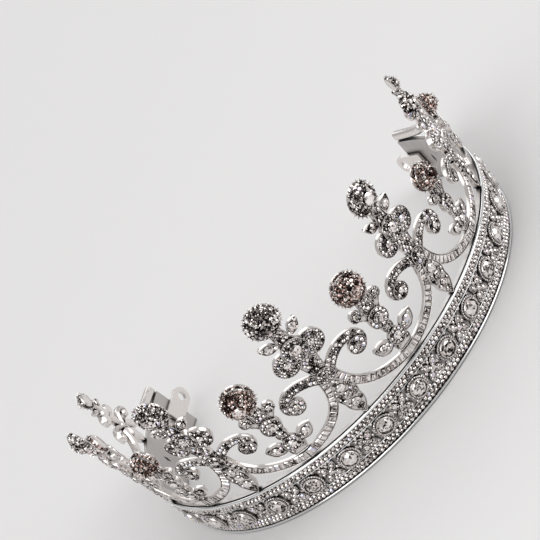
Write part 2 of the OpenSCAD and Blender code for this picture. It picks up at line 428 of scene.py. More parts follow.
@dataclass
class Seats:
    """The places at which stones or grains are set, with one entry for each in every list.

    Args:
        places: where each is set, in metres.
        aims: the way its top faces.
        alongs: the way its length runs.
        sizes: half length, half width and height, in metres.
        forms: which shape it takes.
        least: how bright its painted glints are at least, from 0 to 1.
    """

    places: list[Vector] = field(default_factory=list)
    aims: list[Vector] = field(default_factory=list)
    alongs: list[Vector] = field(default_factory=list)
    sizes: list[Vector] = field(default_factory=list)
    forms: list[int] = field(default_factory=list)
    least: list[float] = field(default_factory=list)

    def add(self, form: Cut | Grain, place: Vector, aim: Vector, along: Vector,
            size: Triple, least: float = 0.0) -> None:
        """Adds one seat.

        Args:
            form: the shape that is set there.
            place: where it is set, in metres.
            aim: the way its top faces.
            along: the way its length runs.
            size: half length, half width and height, in millimetres.
            least: how bright its painted glints are at least, from 0 to 1.
        """
        self.places.append(place)
        self.aims.append(aim)
        self.alongs.append(along)
        self.sizes.append(Vector(size) * MM)
        self.forms.append(form.value)
        self.least.append(least)

    def to_points(self, name: str) -> bpy.types.Object:
        """The seats as loose points that carry their attributes."""
        data = bpy.data.meshes.new(name)
        data.from_pydata(self.places, [], [])
        for label, values in (("aim", self.aims), ("along", self.alongs), ("size", self.sizes)):
            layer = data.attributes.new(label, "FLOAT_VECTOR", "POINT")
            layer.data.foreach_set("vector", [c for v in values for c in v])
        data.attributes.new("form", "INT", "POINT").data.foreach_set("value", self.forms)
        data.attributes.new("least", "FLOAT", "POINT").data.foreach_set("value", self.least)
        return in_scene(bpy.data.objects.new(name, data))


# ---- Node trees ----


def feed(tree: bpy.types.NodeTree, node: bpy.types.Node, inputs: dict[str | int, object]) -> None:
    """Fills a node's inputs: a socket is linked, anything else becomes the input's value."""
    for label, value in inputs.items():
        if isinstance(value, bpy.types.NodeSocket):
            tree.links.new(value, node.inputs[label])
        else:
            node.inputs[label].default_value = value


def add_node(tree: bpy.types.NodeTree, kind: str, inputs: dict[str | int, object] | None = None,
             **settings: object) -> bpy.types.Node:
    """Adds a node to a tree.

    Args:
        tree: the tree.
        kind: the node's type.
        inputs: what goes into its inputs, by name or by number.
        settings: the node's own properties.

    Returns:
        The new node.
    """
    node = tree.nodes.new(kind)
    for label, value in settings.items():
        setattr(node, label, value)
    feed(tree, node, inputs or {})
    return node


class Setter:
    """The node tree that sets a shape at every seat and joins them to their metal."""

    def __init__(self) -> None:
        self.tree = bpy.data.node_groups.new("set_in_seats", "GeometryNodeTree")
        self.sockets: dict[str, str] = {}
        self._inputs()
        self._nodes()

    def _inputs(self) -> None:
        """Names the tree's inputs and its output."""
        face = self.tree.interface
        face.new_socket("Seats", in_out="INPUT", socket_type="NodeSocketGeometry")
        for label, kind in (("Forms", "Collection"), ("Carrier", "Object"), ("Size", "Float"),
                            ("Seed", "Int"), ("Finish", "Material")):
            socket = face.new_socket(label, in_out="INPUT", socket_type="NodeSocket" + kind)
            self.sockets[label] = socket.identifier
        face.new_socket("Set piece", in_out="OUTPUT", socket_type="NodeSocketGeometry")

    def _attribute(self, name: str, kind: str) -> bpy.types.NodeSocket:
        """Reads one of the seats' attributes."""
        return add_node(self.tree, "GeometryNodeInputNamedAttribute", {"Name": name},
                        data_type=kind).outputs["Attribute"]

    def _chance(self, name: str, domain: str, geometry: bpy.types.NodeSocket,
                start: bpy.types.Node) -> bpy.types.NodeSocket:
        """Stores a random number from 0 to 1 on each face or each set shape, which picks its
        painted glint.
        """
        tree = self.tree
        index = add_node(tree, "GeometryNodeInputIndex").outputs[0]
        chance = add_node(tree, "FunctionNodeRandomValue",
                          {"ID": index, "Seed": start.outputs["Seed"]}, data_type="FLOAT")
        if domain == "INSTANCE":
            least = next(i for i in chance.inputs if i.enabled and i.name == "Min")
            tree.links.new(self._attribute("least", "FLOAT"), least)
        value = next(o for o in chance.outputs if o.enabled and o.type == "VALUE")
        return add_node(tree, "GeometryNodeStoreNamedAttribute",
                        {"Name": name, "Geometry": geometry, "Value": value},
                        data_type="FLOAT", domain=domain).outputs[0]

    def _nodes(self) -> None:
        """Builds the tree."""
        tree = self.tree
        start, end = tree.nodes.new("NodeGroupInput"), tree.nodes.new("NodeGroupOutput")
        forms = add_node(tree, "GeometryNodeCollectionInfo",
                         {"Collection": start.outputs["Forms"], "Separate Children": True,
                          "Reset Children": True})
        turn = add_node(tree, "FunctionNodeAxesToRotation",
                        {0: self._attribute("aim", "FLOAT_VECTOR"),
                         1: self._attribute("along", "FLOAT_VECTOR")},
                        primary_axis="Z", secondary_axis="X")
        scale = add_node(tree, "ShaderNodeVectorMath",
                         {0: self._attribute("size", "FLOAT_VECTOR"),
                          "Scale": start.outputs["Size"]}, operation="SCALE")
        place = add_node(tree, "GeometryNodeInstanceOnPoints",
                         {"Points": start.outputs["Seats"], "Instance": forms.outputs[0],
                          "Pick Instance": True, "Instance Index": self._attribute("form", "INT"),
                          "Rotation": turn.outputs[0], "Scale": scale.outputs[0]})
        spark = self._chance("spark", "INSTANCE", place.outputs[0], start)
        real = add_node(tree, "GeometryNodeRealizeInstances", {0: spark})
        glint = self._chance("glint", "FACE", real.outputs[0], start)
        carrier = add_node(tree, "GeometryNodeObjectInfo", {"Object": start.outputs["Carrier"]})
        join = add_node(tree, "GeometryNodeJoinGeometry", {0: glint})
        feed(tree, join, {0: carrier.outputs["Geometry"]})
        dress = add_node(tree, "GeometryNodeSetMaterial",
                         {"Geometry": join.outputs[0], "Material": start.outputs["Finish"]})
        feed(tree, end, {0: dress.outputs[0]})

    def fill(self, name: str, seats: Seats, forms: bpy.types.Collection,
             finish: bpy.types.Material, carrier: bpy.types.Object | None = None,
             seed: int = 1) -> bpy.types.Object:
        """Sets a shape at every seat.

        Args:
            name: the new piece's name.
            seats: where the shapes go.
            forms: the shapes to pick from.
            finish: the material that they take.
            carrier: metal that is joined to them, or None.
            seed: picks the painted brightness of each facet.

        Returns:
            The piece as a plain mesh.
        """
        points = seats.to_points(name + "_seats")
        changer = points.modifiers.new("set", "NODES")
        changer.node_group = self.tree
        for label, value in (("Forms", forms), ("Carrier", carrier), ("Size", 1.0),
                             ("Seed", seed), ("Finish", finish)):
            changer[self.sockets[label]] = value
        graph = bpy.context.evaluated_depsgraph_get()
        data = bpy.data.meshes.new_from_object(points.evaluated_get(graph),
                                               preserve_all_data_layers=True, depsgraph=graph)
        data.name = name
        for old in (points, carrier):
            if old is not None:
                bpy.data.objects.remove(old)
        return in_scene(bpy.data.objects.new(name, data))


# ---- Finishes ----


def new_material(name: str) -> tuple[bpy.types.Material, bpy.types.NodeTree, bpy.types.Node]:
    """A material with its shader node ready."""
    material = bpy.data.materials.new(name)
    material.use_nodes = True
    tree = material.node_tree
    return material, tree, tree.nodes["Principled BSDF"]


def ramp(tree: bpy.types.NodeTree, factor: bpy.types.NodeSocket,
         stops: Sequence[tuple[float, Triple]], kind: str) -> bpy.types.NodeSocket:
    """The colour that a ramp with the given stops gives for a factor."""
    node = add_node(tree, "ShaderNodeValToRGB", {0: factor})
    node.color_ramp.interpolation = kind
    elements = node.color_ramp.elements
    while len(elements) < len(stops):
        elements.new(0.5)
    for element, (place, colour) in zip(elements, stops):
        element.position = place
        element.color = (*colour, 1)
    return node.outputs[0]


@dataclass(frozen=True)
class MetalFinish:
    """White metal: its own colour on open surfaces, with painted shade that darkens it in crevices
    and between parts.

    Args:
        name: the material's name.
        bright: colour of open, polished surfaces, where no painted shade falls.
        shade: painted shade colour in crevices and between the stones.
        smooth: least roughness.
        rough: most roughness.
    """

    name: str
    bright: Triple
    shade: Triple
    smooth: float
    rough: float

    def make(self) -> bpy.types.Material:
        """Builds the material."""
        material, tree, shader = new_material(self.name)
        place = add_node(tree, "ShaderNodeTexCoord").outputs["Object"]
        # Painted shade: ambient occlusion blends the colour towards the shade colour in crevices
        # and gaps.
        painted_shade_ao = add_node(tree, "ShaderNodeAmbientOcclusion", {"Distance": 1.1 * MM}, samples=6)
        painted_tint = ramp(tree, painted_shade_ao.outputs["AO"], [(0.45, self.shade), (0.95, self.bright)],
                    "LINEAR")
        wear = add_node(tree, "ShaderNodeTexNoise", {"Vector": place, "Scale": 420, "Detail": 6})
        polish = add_node(tree, "ShaderNodeMapRange",
                          {"Value": wear.outputs["Fac"], "From Min": 0.35, "From Max": 0.7,
                           "To Min": self.smooth, "To Max": self.rough})
        fine = add_node(tree, "ShaderNodeTexNoise", {"Vector": place, "Scale": 2600})
        bump = add_node(tree, "ShaderNodeBump", {"Height": fine.outputs["Fac"], "Strength": 0.25,
                                                 "Distance": 0.03 * MM})
        feed(tree, shader, {"Base Color": painted_tint, "Metallic": 1.0, "Roughness": polish.outputs[0],
                            "Normal": bump.outputs[0]})
        return material


@dataclass(frozen=True)
class StoneFinish:
    """Foil-backed cut crystal with painted glints: every facet gets its own painted brightness in
    place of what it reflects, and a few stones get painted fire colours.

    Args:
        name: the material's name.
        dark: painted shade colour of the deepest facets.
        middle: painted colour of the common facets.
        light: painted highlight colour of the bright facets.
        white: painted highlight colour of the few brightest.
        fire: painted fire colours that a few stones throw.
        common: share of stones that throw no painted fire.
    """

    name: str
    dark: Triple
    middle: Triple
    light: Triple
    white: Triple
    fire: tuple[Triple, ...]
    common: float = 0.93

    def make(self) -> bpy.types.Material:
        """Builds the material."""
        material, tree, shader = new_material(self.name)
        spark, glint = (add_node(tree, "ShaderNodeAttribute", attribute_name=label).outputs["Fac"]
                        for label in ("spark", "glint"))
        # Painted glints: the stone's and the facet's random numbers pick a painted brightness
        # level, in place of what the facet reflects.
        blend = add_node(tree, "ShaderNodeMix", {"Factor": 0.5, "A": spark, "B": glint})
        painted_tint = ramp(tree, blend.outputs[0], [(0.0, self.dark), (0.41, self.middle),
                                             (0.54, self.light), (0.74, self.white)], "CONSTANT")
        # Painted fire: a few stones take pale colours in place of the light that they split.
        fire = ramp(tree, glint, [(0.9 * i / len(self.fire), c) for i, c in enumerate(self.fire)],
                    "CONSTANT")
        spread = add_node(tree, "ShaderNodeMath", {0: spark, 1: 37.0}, operation="MULTIPLY")
        mixed = add_node(tree, "ShaderNodeMath", {0: spread.outputs[0]}, operation="FRACT")
        rare = add_node(tree, "ShaderNodeMath", {0: mixed.outputs[0], 1: self.common},
                        operation="GREATER_THAN")
        colour = add_node(tree, "ShaderNodeMix",
                          {"Factor": rare.outputs[0], "A": painted_tint, "B": fire}, data_type="RGBA")
        feed(tree, shader, {"Base Color": colour.outputs["Result"], "Metallic": 1.0,
                            "Roughness": 0.1})
        return material


# Each finish: its own colour, the painted shade colour for crevices, then the least and most
# roughness.
SILVER = MetalFinish("silver", (0.80, 0.76, 0.735), (0.025, 0.022, 0.022), 0.16, 0.32)
# The strip's silver: rougher, as a satin finish, and darker in colour, as painted shade on the
# strip.
SHADED_SATIN = MetalFinish("silver_shaded_satin", (0.50, 0.48, 0.47), (0.025, 0.022, 0.022), 0.3, 0.5)
WIRE = MetalFinish("bright_wire", (0.90, 0.90, 0.90), (0.25, 0.25, 0.26), 0.08, 0.18)
# Stone colours: painted shade for the deepest facets, then middle, then painted highlights, then
# painted fire colours.
CRYSTALS = {
    Tone.CLEAR: StoneFinish(
        "crystal", (0.008, 0.007, 0.008), (0.19, 0.165, 0.155), (0.86, 0.795, 0.76),
        (1.0, 0.975, 0.965), ((0.62, 0.7, 0.9), (0.9, 0.85, 0.7), (0.85, 0.68, 0.74))),
    Tone.CHAMPAGNE: StoneFinish(
        "champagne_crystal", (0.02, 0.01, 0.008), (0.14, 0.085, 0.072), (0.50, 0.37, 0.325),
        (0.93, 0.88, 0.85), ((0.9, 0.86, 0.8), (0.6, 0.36, 0.34)))}


def hand_over(piece: bpy.types.Object, slot: str, *nodes: str) -> None:
    """Ties a finished piece to the body and hides the CAD nodes that it stands for."""
    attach(piece, BODY)
    if nodes:
        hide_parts(*nodes)
    log.info("%s: %d faces", piece.name, len(piece.data.polygons))


@dataclass
class Workshop:
    """What every sub-assembly needs: the ring, the setter, the shapes and the finishes."""

    ring: Ring
    setter: Setter
    cuts: bpy.types.Collection
    grains: bpy.types.Collection
    silver: bpy.types.Material
    shaded_satin: bpy.types.Material
    wire: bpy.types.Material
    stones: dict[Tone, bpy.types.Material]

    @classmethod
    def open(cls) -> "Workshop":
        """Makes the shared tools and finishes."""
        return cls(Ring.from_frame(), Setter(), stone_cuts(), grain_forms(), SILVER.make(),
                   SHADED_SATIN.make(), WIRE.make(), {tone: CRYSTALS[tone].make() for tone in Tone})

    def set_grains(self, name: str, grains: Seats, carrier: bpy.types.Object | None = None,
                   *nodes: str) -> None:
        """Raises grains on the metal that carries them and hands the piece over."""
        hand_over(self.setter.fill(name, grains, self.grains, self.silver, carrier), "silver",
                  *nodes)

    def set_stones(self, name: str, stones: Seats, tone: Tone, seed: int, *nodes: str) -> None:
        """Sets stones in their seats and hands the piece over."""
        hand_over(self.setter.fill(name, stones, self.cuts, self.stones[tone], seed=seed),
                  tone.value, *nodes)


# ---- Motifs ----


# Radius of the motifs' small stones and of common grains, and the gap between stones
PAVE = 0.64
GRAIN = 0.2
GAP = 0.06
# From row to row and from stone to grain in a honeycomb, as shares of its pitch
COMB_ROW, COMB_GRAIN = 0.87, 0.58


def polar(centre: Plane, reach: float, turn: float) -> Plane:
    """The place at a distance and in a direction from a centre."""
    return centre[0] + reach * math.cos(turn), centre[1] + reach * math.sin(turn)


@dataclass
class Plate:
    """Metal, stones and grains of one motif, laid out flat and bent onto the cone.

    Args:
        shop: the shared tools.
        angle: the motif's place round the ring.
        metal: what is made of metal so far.
        stones: the stones so far.
        grains: the grains so far.
        least: how bright its stones' painted glints are at least, from 0 to 1.
    """

    shop: Workshop
    angle: float
    metal: Shape = field(default_factory=Shape)
    stones: Seats = field(default_factory=Seats)
    grains: Seats = field(default_factory=Seats)
    least: float = 0.0

    def at(self, place: Plane, out: float) -> Vector:
        """A flat place, bent onto the cone."""
        return self.shop.ring.point(self.angle, *place, out)

    def way(self, place: Plane, direction: Plane) -> tuple[Vector, Vector]:
        """The outward direction at a flat place, and a flat direction bent onto the cone."""
        across, up, out = self.shop.ring.axes(self.angle, *place)
        return out, (across * direction[0] + up * direction[1]).normalized()

    def stone(self, cut: Cut, place: Plane, radius: float, out: float,
              along: Plane = (1.0, 0.0), length: float | None = None) -> None:
        """Sets one stone.

        Args:
            cut: its cut.
            place: where it lies.
            radius: its radius, or half its width.
            out: height of its girdle above the cone.
            along: the way of its length.
            length: half its length, for a stone that isn't round.
        """
        aim, line = self.way(place, along)
        self.stones.add(cut, self.at(place, out), aim, line,
                        (length or radius, radius, min(1.4, radius)), max(LEAST[cut], self.least))

    def bead(self, place: Plane, radius: float, out: float) -> None:
        """Raises one grain of metal."""
        aim, line = self.way(place, (1.0, 0.0))
        self.grains.add(Grain.BEAD, self.at(place, out), aim, line, (radius,) * 3)

    def ribbon(self, path: Sequence[Plane], width: float, tray: Tray) -> None:
        """A tray of even width that follows a path."""
        right = [(width / 2 - depth, height) for depth, height in tray.steps()]
        section = [(-reach, height) for reach, height in right] + right[::-1]
        self.metal.loft([[self.at((x - dz * reach, z + dx * reach), height)
                          for reach, height in section] for (x, z), (dx, dz) in even(path, 1.1)])

    def pave_ribbon(self, path: Sequence[Plane], width: float, tray: Tray, keep: Keep) -> None:
        """A ribbon with two staggered rows of round stones, and grains between them."""
        self.ribbon(path, width, tray)
        radius = (width - 2 * tray.rim - 0.1) / 4
        spots = list(enumerate(even(path, radius + 0.04)))[1:-1]
        for row, offset in enumerate((-radius, radius)):
            for i, ((x, z), (dx, dz)) in spots:
                here = (x - dz * offset, z + dx * offset)
                if not keep(here):
                    continue
                if i % 2 == row:
                    self.stone(Cut.PAVE, here, radius, tray.lift + 0.16, (dx, dz))
                    continue
                for edge in (offset - 0.92 * radius, offset + 0.92 * radius):
                    self.bead((x - dz * edge, z + dx * edge), GRAIN, tray.lift + 0.25)

    def channel_ribbon(self, path: Sequence[Plane], width: float, tray: Tray, keep: Keep) -> None:
        """A ribbon with a single file of square stones, side by side."""
        self.ribbon(path, width, tray)
        half = width / 2 - tray.rim - GAP
        for (x, z), (dx, dz) in even(path, 1.7)[1:-1]:
            if keep((x, z)):
                self.stone(Cut.BAGUETTE, (x, z), 0.7, tray.lift + 0.1, (-dz, dx), half)

    def pan(self, outline: Sequence[Plane], tray: Tray) -> None:
        """A tray with the given closed outline."""
        self.metal.loft([[self.at(p, height) for p in inset(outline, depth)]
                         for depth, height in tray.steps()])

    def pave(self, outline: Sequence[Plane], radius: float, tray: Tray, keep: Keep,
             turn: float = 0.0) -> None:
        """Fills an outline with close-set round stones on a honeycomb grid, with grains between.

        Args:
            outline: how far the stones reach.
            radius: radius of the stones.
            tray: section of the tray that they lie in.
            keep: tells where stones may lie.
            turn: how far the grid is turned.
        """
        xs, zs = zip(*outline)
        low, high = (min(xs), min(zs)), (max(xs), max(zs))
        middle = ((low[0] + high[0]) / 2, (low[1] + high[1]) / 2)
        pitch = 2 * radius + GAP
        span = int(math.dist(low, high) / 2 / pitch) + 2
        for row in range(-span - 2, span + 3):
            for column in range(-span, span + 1):
                x, z = pitch * (column + 0.5 * (row % 2)), pitch * COMB_ROW * row
                here, between = turned([(x, z), (x, z + COMB_GRAIN * pitch)], turn, middle)
                if room(here, outline) - tray.rim < 0.75 * radius or not keep(here):
                    continue
                self.stone(Cut.PAVE, here, radius, tray.lift + 0.18)
                if room(between, outline) > tray.rim:
                    self.bead(between, 0.24 * radius + 0.04, tray.lift + 0.3)

    def paved_pan(self, outline: Sequence[Plane], tray: Tray, keep: Keep,
                  turn: float = 0.0) -> None:
        """A pan that is filled with small round stones."""
        self.pan(outline, tray)
        self.pave(outline, PAVE, tray, keep, turn)

    def halo(self, centre: Plane, reach: float, radius: float, out: float) -> None:
        """A circle of round stones with grains between them."""
        count = max(6, int(TURN * reach / (2 * radius + GAP)))
        for at_stone, at_grain in zip(round_turn(count), round_turn(count, 0.5)):
            self.stone(Cut.PAVE, polar(centre, reach, at_stone), radius, out)
            self.bead(polar(centre, reach + 0.8 * radius, at_grain), GRAIN, out + 0.1)

    def rosette(self, centre: Plane, radius: float, heart: float, tray: Tray) -> None:
        """A round pan: one brilliant, with as many circles of small stones as fit round it."""
        self.pan(turned(oval(radius, radius, False), 0, centre), tray)
        out = tray.lift + 0.2
        self.stone(Cut.BRILLIANT, centre, heart, out + 0.15)
        free = radius - tray.rim - heart - 2 * GAP
        rows = max(0, round(free / 1.15))
        for row in range(rows):
            small = free / rows / 2
            self.halo(centre, heart + GAP + small * (2 * row + 1), small * 0.97, out)
        for turn in round_turn(4, 0.5):
            self.bead(polar(centre, heart * 0.97, turn), 0.3, out + 0.3)

    def petal(self, centre: Plane, turn: float, half: Plane, tray: Tray) -> None:
        """A pointed pan with three round stones: a large one between two smaller."""
        self.pan(turned(oval(*half), turn, centre), tray)
        out = tray.lift + 0.2
        big = half[1] - tray.rim - 0.02
        self.stone(Cut.BRILLIANT, centre, big, out + 0.1)
        for place in turned([(0, -1.46 * big), (0, 1.46 * big)], turn, centre):
            self.stone(Cut.PAVE, place, 0.5 * big, out + 0.05)

    def deliver(self, kind: str, place: str, seed: int) -> None:
        """Makes the metal and stone pieces and hands them over in place of their CAD nodes."""
        self.shop.set_grains(f"{kind}_{place}_frame", self.grains,
                             self.metal.finish(f"{kind}_{place}_blank"), f"{kind}_frame_{place}")
        self.shop.set_stones(f"{kind}_{place}_stones", self.stones, Tone.CLEAR, seed,
                             f"{kind}_stones_{place}")


# Half width twice, then height, of a crest's claws
HEART_CLAW, DOME_CLAW, DRUM_CLAW = (0.26, 0.26, 0.5), (0.19, 0.19, 0.45), (0.2, 0.2, 0.55)
CREST_SIDES = 24
DOME_STEPS = 6


@dataclass
class Crest:
    """A low drum with a dome of claw-set stones and a large one in the middle.

    Args:
        shop: the shared tools.
        angle: its place round the ring.
        height: height of its centre above the band.
        radius: radius over the stones.
        tone: colour of the stones.
        drum: half the height of the drum, as a share of the radius.
        dome: height of the dome, likewise.
        heart: radius of the stone in the middle, likewise.
        small: wanted radius of the other stones.
        behind: how far its centre lies behind the cone's face.
    """

    shop: Workshop
    angle: float
    height: float
    radius: float
    tone: Tone
    drum: float
    dome: float
    heart: float = 0.38
    small: float = 0.72
    behind: float = 0.8

    def build(self, kind: str, place: str, seed: int) -> None:
        """Builds the crest and hands it over in place of its CAD node."""
        ring = self.shop.ring
        across, up, out = ring.axes(self.angle, 0, self.height)
        centre = ring.point(self.angle, 0, self.height, -self.behind)
        edge = self.drum * self.radius
        ball = (1 + self.dome ** 2) / (2 * self.dome) * self.radius
        middle = (self.drum + self.dome) * self.radius - ball
        widest = math.asin(self.radius / ball)

        def on_dome(lean: float, turn: float, sunk: float) -> tuple[Vector, Vector]:
            aim = (out * math.cos(lean) + (across * math.cos(turn) + up * math.sin(turn))
                   * math.sin(lean)).normalized()
            return centre + out * middle * MM + aim * (ball - sunk) * MM, aim

        def on_drum(reach: float, turn: float, height: float) -> tuple[Vector, Vector]:
            aim = across * math.cos(turn) + up * math.sin(turn)
            return centre + aim * reach * MM + out * height * MM, aim

        stones, claws = Seats(), Seats()
        heart = self.heart * self.radius
        spot, aim = on_dome(0, 0, 0.1)
        stones.add(Cut.BRILLIANT, spot, aim, across, (heart, heart, heart * 0.8))
        for turn in round_turn(6):
            tip, _ = on_dome(1.04 * heart / ball, turn, -0.35)
            claws.add(Grain.CLAW, tip, aim, across, HEART_CLAW)
        rows = max(2, round((widest * ball - heart) / (2 * self.small)))
        size = (widest * ball - heart) / rows / 2
        for row in range(rows):
            lean = (heart + size * (2 * row + 1)) / ball
            count = max(6, int(TURN * math.sin(lean) * ball / (2 * size + 0.08)))
            for turn in round_turn(count, 0.5 * (row % 2)):
                stones.add(Cut.PAVE, *on_dome(lean, turn, 0.35), across, (size, size, 1.15 * size))
                claws.add(Grain.CLAW, *on_dome(lean + size / ball, turn + math.pi / count, 0.05),
                          across, DOME_CLAW)
        count = int(TURN * self.radius / (2 * size + 0.1))
        for turn in round_turn(count):
            stones.add(Cut.PAVE, *on_drum(self.radius - 0.5, turn, 0.1), out,
                       (size, size, 1.1 * size))
            claws.add(Grain.CLAW, *on_drum(self.radius, turn + math.pi / count, 0.3), out,
                      DRUM_CLAW)
        core, waist = Shape(), self.radius - 0.55
        loops = [[on_drum(reach, turn, height)[0] for turn in round_turn(CREST_SIDES)]
                 for reach, height in ((waist - 0.5, -edge), (waist, 0.3 - edge),
                                       (waist, edge - 0.3))]
        loops += [[on_dome(widest * 0.92 * (1 - step / DOME_STEPS), turn, 0.55)[0]
                   for turn in round_turn(CREST_SIDES)] for step in range(1, DOME_STEPS)]
        core.loft(loops)
        name = f"{kind}_{place}_"
        self.shop.set_grains(name + "crest_cup", claws, core.finish(name + "core"))
        self.shop.set_stones(name + "crest_stones", stones, self.tone, seed,
                             f"{kind}_crest_{place}")


@dataclass
class Motif:
    """What the tall and the short motifs share.

    Args:
        shop: the shared tools.
        place: which one of its kind it is, such as "l2".
        angle: its place round the ring.
        size: its size as a share of the full one.
    """

    shop: Workshop
    place: str
    angle: float
    size: float

    kind: ClassVar[str]
    tone: ClassVar[Tone]
    crest_height: ClassVar[float]
    crest_radius: ClassVar[float]
    drum: ClassVar[float]
    dome: ClassVar[float]

    def spots(self, *places: Plane) -> list[Plane]:
        """Places of the full size, brought to this motif's size."""
        return [(x * self.size, z * self.size) for x, z in places]

    def hand_in(self, plate: Plate, seed: int) -> None:
        """Hands over the motif's plate, then the crest on top of it."""
        plate.deliver(self.kind, self.place, seed)
        crest = Crest(self.shop, self.angle, self.crest_height * self.size,
                      self.crest_radius * self.size, self.tone, self.drum, self.dome)
        crest.build(self.kind, self.place, seed + 1)


def mirrored(place: Plane, side: int) -> Plane:
    """A place, or its mirror image for side -1."""
    return side * place[0], place[1]


class TallMotif(Motif):
    """Knot, two C-scrolls, two arcs, pendant leaf, trefoil, side marquises and crest."""

    kind, tone = "tall", Tone.CLEAR
    crest_height, crest_radius = 47.6, 6.0
    drum, dome = 0.2, 0.5
    scroll_width, arc_width = 3.6, 3.2

    def scroll(self) -> list[Plane]:
        """Centre line of the right scroll."""
        over = curve((1.6, 18.6), (4.6, 21.8), (8.8, 23.6), (12.1, 22.8))
        curl = curve((12.1, 22.8), (15.8, 21.9), (16.6, 18.2), (13.6, 16.9))
        return self.spots(*over, *curl[1:])

    def arc(self) -> list[Plane]:
        """Centre line of the right arc, at its real size, up to where it meets its neighbour."""
        k, end = self.size, self.shop.ring.radius * math.sin(MOTIF_STEP / 2)
        path = curve((2.2, k * 17.8), (3.2, k * 8.4), (9.4, k * 2.4 + 0.6),
                     (end + 2, self.arc_width / 2 + 0.2), 40)
        return [p for p in path if p[0] < end - 0.1]

    def build(self, seed: int) -> None:
        """Builds the motif and hands its pieces over."""
        k, plate = self.size, Plate(self.shop, self.angle)
        low, mid, high = Tray(), Tray(lift=0.35), Tray(lift=0.6)
        knot, heart, curl, lobe, marquise = self.spots((0, 18.8), (0, 33), (12.9, 17.9), (5, 31),
                                                       (5, 39.2))
        at_knot, at_heart = (knot, 3.1 * k), (heart, 4.4 * k)
        for s in (-1, 1):
            plate.channel_ribbon([mirrored(p, s) for p in self.arc()], self.arc_width, low,
                                 clear_of((knot, 3.3 * k)))
            plate.pave_ribbon([mirrored(p, s) for p in self.scroll()], self.scroll_width * k, low,
                              clear_of((knot, 3.3 * k), (mirrored(curl, s), 3.0 * k)))
            plate.rosette(mirrored(curl, s), 3.1 * k, 1.1 * k, mid)
            plate.petal(mirrored(marquise, s), math.radians(57) * s, (3.4 * k, 1.9 * k), low)
        neck = taper(34 * k, (self.crest_height - 5.6) * k, 6.2 * k, 4.4 * k)
        plate.paved_pan(neck, low, clear_of(at_heart))
        lobes = [(mirrored(lobe, s), 4.5 * k) for s in (-1, 1)]
        plate.paved_pan(taper(knot[1], 31 * k, 4 * k, 9 * k), low,
                        clear_of(at_heart, at_knot, *lobes))
        for centre, radius in lobes:
            plate.rosette(centre, radius, 1.2 * k, mid)
        drops = [(0, (8.6 + 3.6 * i) * k) for i in (-1, 0, 1)]
        for drop in drops:
            plate.stone(Cut.BRILLIANT, drop, 1.5 * k, mid.lift + 0.3)
        plate.paved_pan(turned(lobed(8.8 * k, 3.3 * k, 7, 0.2), 0, drops[1]), mid,
                        clear_of(*[(drop, 1.5 * k + 0.75 * PAVE) for drop in drops], at_knot))
        plate.rosette(*at_heart, 2.0 * k, high)
        plate.rosette(*at_knot, 0.9 * k, mid)
        self.hand_in(plate, seed)


class ShortMotif(Motif):
    """Fleur foot, bead, round cluster, two buds, stem and a champagne crest."""

    kind, tone = "short", Tone.CHAMPAGNE
    crest_height, crest_radius = 32.5, 5.6
    drum, dome = 0.3, 0.8

    def build(self, seed: int) -> None:
        """Builds the motif and hands its pieces over."""
        k, plate = self.size, Plate(self.shop, self.angle)
        low, mid, high = Tray(), Tray(lift=0.3), Tray(lift=0.55)
        fleur, bead, cluster = self.spots((0, 9), (0, 13.6), (0, 18))
        at_fleur, at_cluster = (fleur, 3.2 * k), (cluster, 3.8 * k)
        plate.paved_pan(taper(9 * k, 17 * k, 3.4 * k, 3.4 * k), low,
                        clear_of(at_cluster, at_fleur, (bead, 2.2 * k)))
        neck = taper(18 * k, (self.crest_height - 5.2) * k, 5.2 * k, 4.4 * k)
        plate.paved_pan(neck, low, clear_of(at_cluster))
        foot = turned(oval(4 * k, 3.2 * k), 0, (0, 6.4 * k))
        plate.paved_pan([(x, max(z, 4.2)) for x, z in foot], mid, clear_of(at_fleur))
        for s in (-1, 1):
            tilt = math.radians(62) * s
            root, stone, *stalk = self.spots((s * 5.4, 9.4), (s * 5.8, 9.6), (s * 1.5, 19.8),
                                             (s * 4.4, 23.1))
            plate.stone(Cut.BRILLIANT, stone, 1.3 * k, 0.4)
            plate.paved_pan(turned(oval(4 * k, 2.6 * k), tilt, root), low,
                            clear_of(at_fleur, (stone, 1.3 * k + 0.6 * PAVE)), tilt)
            plate.ribbon(stalk, 2.2 * k, low)
            plate.rosette((s * 4.6 * k, (self.crest_height - 8.1) * k), 2.15 * k, 1.0 * k, mid)
        plate.rosette(bead, 2.1 * k, 1.3 * k, mid)
        plate.rosette(fleur, 3 * k, 1.5 * k, high)
        plate.rosette(cluster, 3.6 * k, 1.9 * k, high)
        self.hand_in(plate, seed)


# ---- Band ----


COLLET_SIDES = 28
WIRE_SIDES = 10
WIRE_STEPS = 240
THREAD = 0.2
# How bright the painted glints of the band's stones are at least, from 0 to 1
BIG_LEAST, ROW_LEAST, FIELD_LEAST, HALO_LEAST = 0.6, 0.58, 0.56, 0.6
# What starts the random draws of its stones
BIG_SEED, SMALL_SEED, UPPER_SEED, LOWER_SEED = 14, 11, 5, 6


